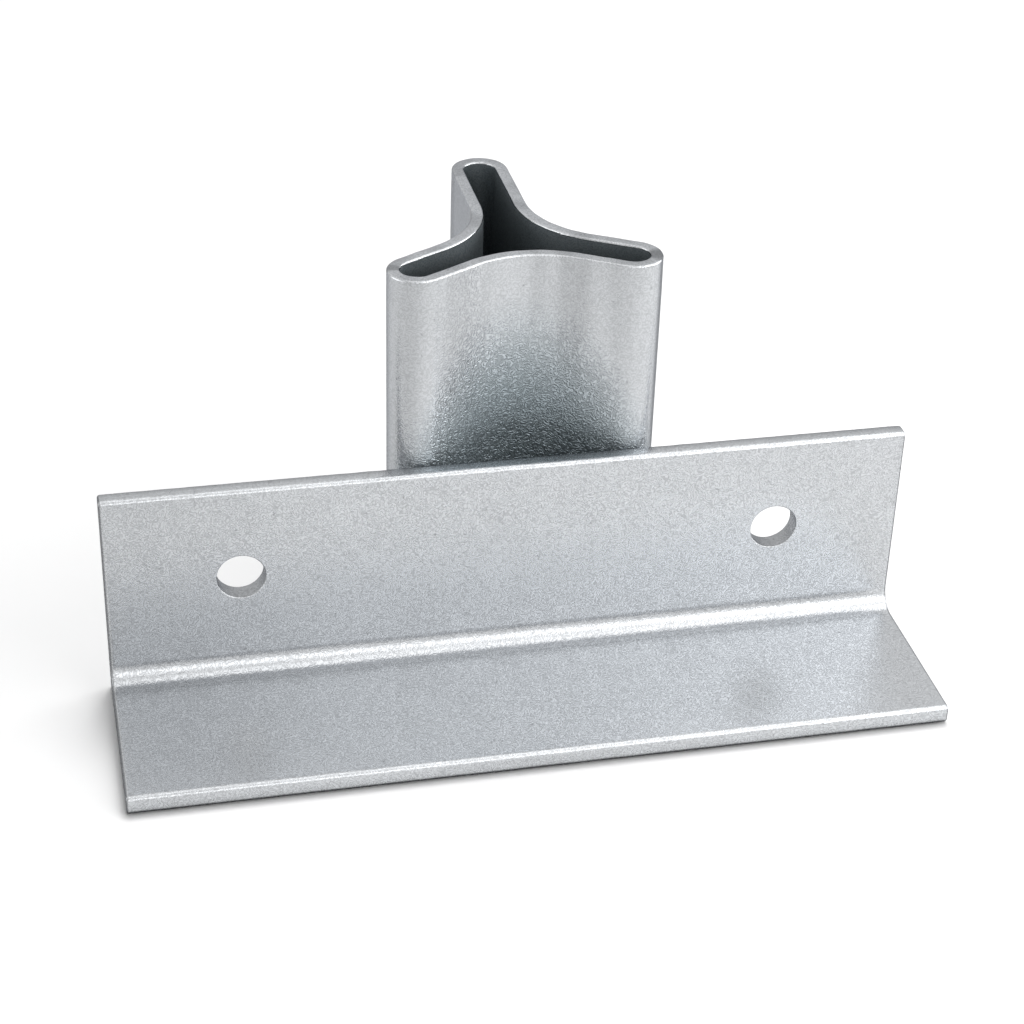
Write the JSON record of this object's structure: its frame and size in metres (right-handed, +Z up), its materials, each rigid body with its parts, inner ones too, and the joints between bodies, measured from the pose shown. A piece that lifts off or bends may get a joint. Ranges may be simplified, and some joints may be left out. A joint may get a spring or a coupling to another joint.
{
  "type": "slide-on stake bracket",
  "caption": "Galvanised steel angle with bolt holes in its upright leg and a three-lobed sleeve welded behind it, which slides over a Y-section stake.",
  "frame": {"origin": "middle of the angle's underside, the face the bracket rests on", "axes": "+X along the angle, -Y out of the front of the upright leg and away from the sleeve, +Z up along the sleeve"},
  "size_m": [0.186, 0.1125, 0.0975],
  "materials": {
    "angle_steel": "hot-dip galvanised, matte with fine worm-like spangle",
    "sleeve_steel": "hot-dip galvanised, satin with fine pits and soft upright streaks",
    "weld_metal": "fillet weld, galvanised over"
  },
  "bodies": {
    "root": {"mounting_angle": "angle_steel", "stake_sleeve": "sleeve_steel", "weld_left": "weld_metal", "weld_right": "weld_metal"}
  },
  "joints": []
}
